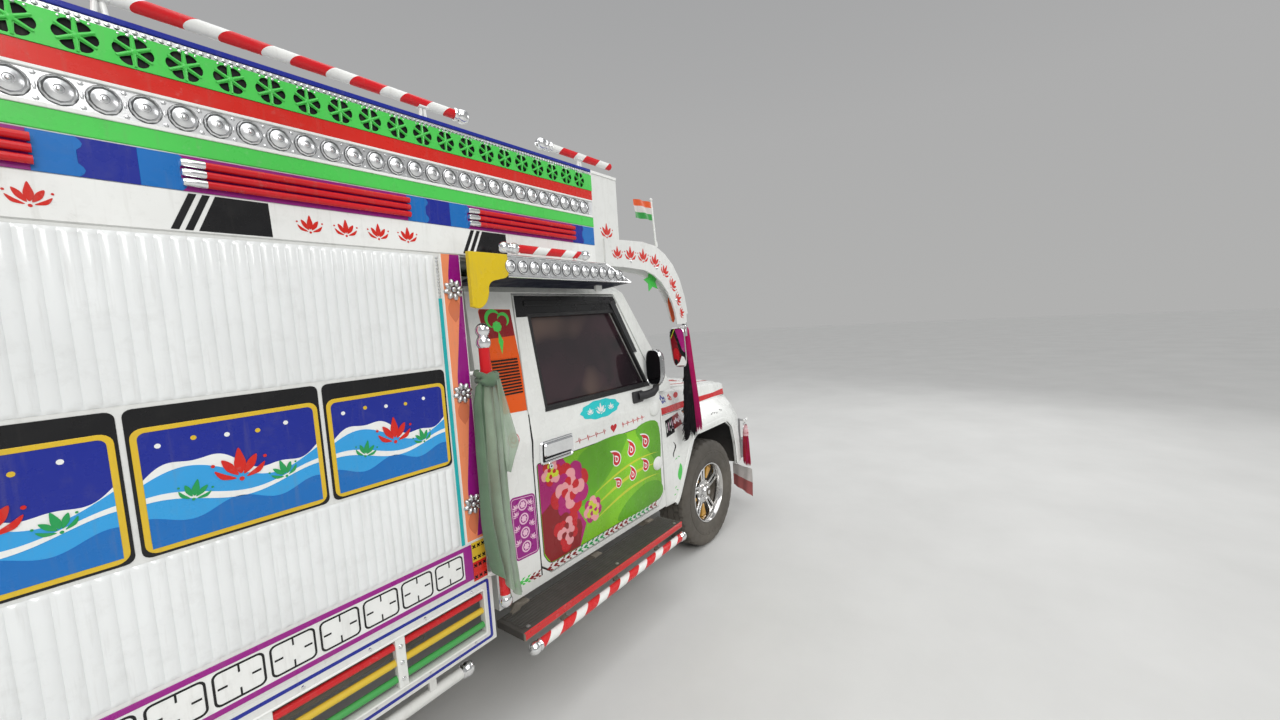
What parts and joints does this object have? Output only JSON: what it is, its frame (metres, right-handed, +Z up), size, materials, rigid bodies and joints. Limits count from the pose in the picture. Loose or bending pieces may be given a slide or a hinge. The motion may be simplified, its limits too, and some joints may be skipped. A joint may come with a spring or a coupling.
{
  "type": "decorated truck",
  "caption": "Bonneted light pickup truck with a tall decorated load body, a box over the cab, opening doors, bonnet and tailgate, steering front wheels, steps, side racks and tassels.",
  "frame": {"origin": "on the ground under the middle of the vehicle's bounding box", "axes": "+X towards the front of the truck, +Y to its left side, +Z up"},
  "size_m": [5.24, 2.0258, 2.326],
  "materials": {
    "white_paint": "gloss",
    "black_frame": "satin",
    "cast_metal": "rough",
    "steel": "satin",
    "tyre": "matte",
    "chrome": "polished",
    "window_glass": "gloss",
    "lamp_glass": "gloss",
    "tail_lens": "gloss",
    "dash_plastic": "matte",
    "seat_fabric": "woven",
    "black_plastic": "matte",
    "rubber": "matte",
    "body_paint": "gloss",
    "band_paint": "gloss",
    "rod_paint": "gloss",
    "deck_metal": "worn",
    "mirror": "polished",
    "tassel_yarn": "fringe",
    "scarf_cloth": "sheer"
  },
  "bodies": {
    "truck": {"chassis_frame": "black_frame", "front_suspension": "black_frame", "rear_axle": "cast_metal", "leaf_springs": "steel", "engine_block": "cast_metal", "propshaft": "steel", "fuel_tank": "black_frame", "exhaust": "steel", "spare_wheel": "tyre", "cab_shell": "white_paint", "windshield": "window_glass", "rear_window": "window_glass", "dashboard": "dash_plastic", "seat_cushion": "seat_fabric", "seat_backrest": "seat_fabric", "front_fenders": "white_paint", "arch_liners": "black_plastic", "front_panel": "black_plastic", "headlamps": "lamp_glass", "front_bumper": "steel", "bumper_guard": "steel", "running_boards": "black_frame", "step_bars": "rod_paint", "side_racks": "white_paint", "corner_poles": "rod_paint", "load_deck": "deck_metal", "body_sides": "body_paint", "body_bulkhead": "body_paint", "top_boards": "band_paint", "head_box": "band_paint", "rear_frame": "body_paint", "rear_bumper": "black_frame", "tail_lamps": "tail_lens", "mud_flaps": "rubber", "roof_rods": "rod_paint", "door_canopies": "steel", "side_arches": "white_paint", "hanging_mirrors": "mirror", "tassels": "tassel_yarn", "cloths": "scarf_cloth"},
    "steering": {"steering_wheel": "black_plastic"},
    "door_right": {"door_right": "white_paint", "door_glass_right": "window_glass", "door_mirror_right": "chrome"},
    "door_left": {"door_left": "white_paint", "door_glass_left": "window_glass", "door_mirror_left": "chrome"},
    "bonnet": {"bonnet": "white_paint"},
    "tailgate": {"tailgate": "body_paint"},
    "knuckle_right": {"knuckle_right": "cast_metal"},
    "knuckle_left": {"knuckle_left": "cast_metal"},
    "wheel_fr": {"tyre_fr": "tyre", "rim_fr": "chrome"},
    "wheel_fl": {"tyre_fl": "tyre", "rim_fl": "chrome"},
    "wheel_rr": {"tyre_rr": "tyre", "rim_rr": "chrome"},
    "wheel_rl": {"tyre_rl": "tyre", "rim_rl": "chrome"}
  },
  "joints": [
    {"name": "knuckle_right_steer", "type": "hinge", "parent": "truck", "child": "knuckle_right", "pos_m": [1.85, -0.64, 0.355], "axis": [0, 0, 1], "range_deg": [-30, 30]},
    {"name": "knuckle_left_steer", "type": "hinge", "parent": "truck", "child": "knuckle_left", "pos_m": [1.85, 0.64, 0.355], "axis": [0, 0, 1], "range_deg": [-30, 30]},
    {"name": "steering_turn", "type": "hinge", "parent": "truck", "child": "steering", "pos_m": [0.96, -0.37, 1.11], "axis": [-0.8192, 0, 0.5736], "range_deg": [-540, 540]},
    {"name": "wheel_fr_spin", "type": "hinge", "parent": "knuckle_right", "child": "wheel_fr", "pos_m": [1.85, -0.718, 0.355], "axis": [0, 1, 0], "continuous": true},
    {"name": "wheel_fl_spin", "type": "hinge", "parent": "knuckle_left", "child": "wheel_fl", "pos_m": [1.85, 0.718, 0.355], "axis": [0, 1, 0], "continuous": true},
    {"name": "wheel_rr_spin", "type": "hinge", "parent": "truck", "child": "wheel_rr", "pos_m": [-1.41, -0.718, 0.355], "axis": [0, 1, 0], "continuous": true},
    {"name": "wheel_rl_spin", "type": "hinge", "parent": "truck", "child": "wheel_rl", "pos_m": [-1.41, 0.718, 0.355], "axis": [0, 1, 0], "continuous": true},
    {"name": "door_right_swing", "type": "hinge", "parent": "truck", "child": "door_right", "pos_m": [1.326, -0.802, 1], "axis": [0, 0, 1], "range_deg": [0, 65]},
    {"name": "door_left_swing", "type": "hinge", "parent": "truck", "child": "door_left", "pos_m": [1.326, 0.802, 1], "axis": [0, 0, -1], "range_deg": [0, 65]},
    {"name": "bonnet_lift", "type": "hinge", "parent": "truck", "child": "bonnet", "pos_m": [1.466, 0, 1.152], "axis": [0, -1, 0], "range_deg": [0, 50]},
    {"name": "tailgate_drop", "type": "hinge", "parent": "truck", "child": "tailgate", "pos_m": [-2.55, 0, 0.85], "axis": [0, -1, 0], "range_deg": [0, 90]}
  ],
  "couplings": [
    {"joint": "knuckle_left_steer", "follows": "knuckle_right_steer", "ratio": 1},
    {"joint": "steering_turn", "follows": "knuckle_right_steer", "ratio": 18}
  ]
}
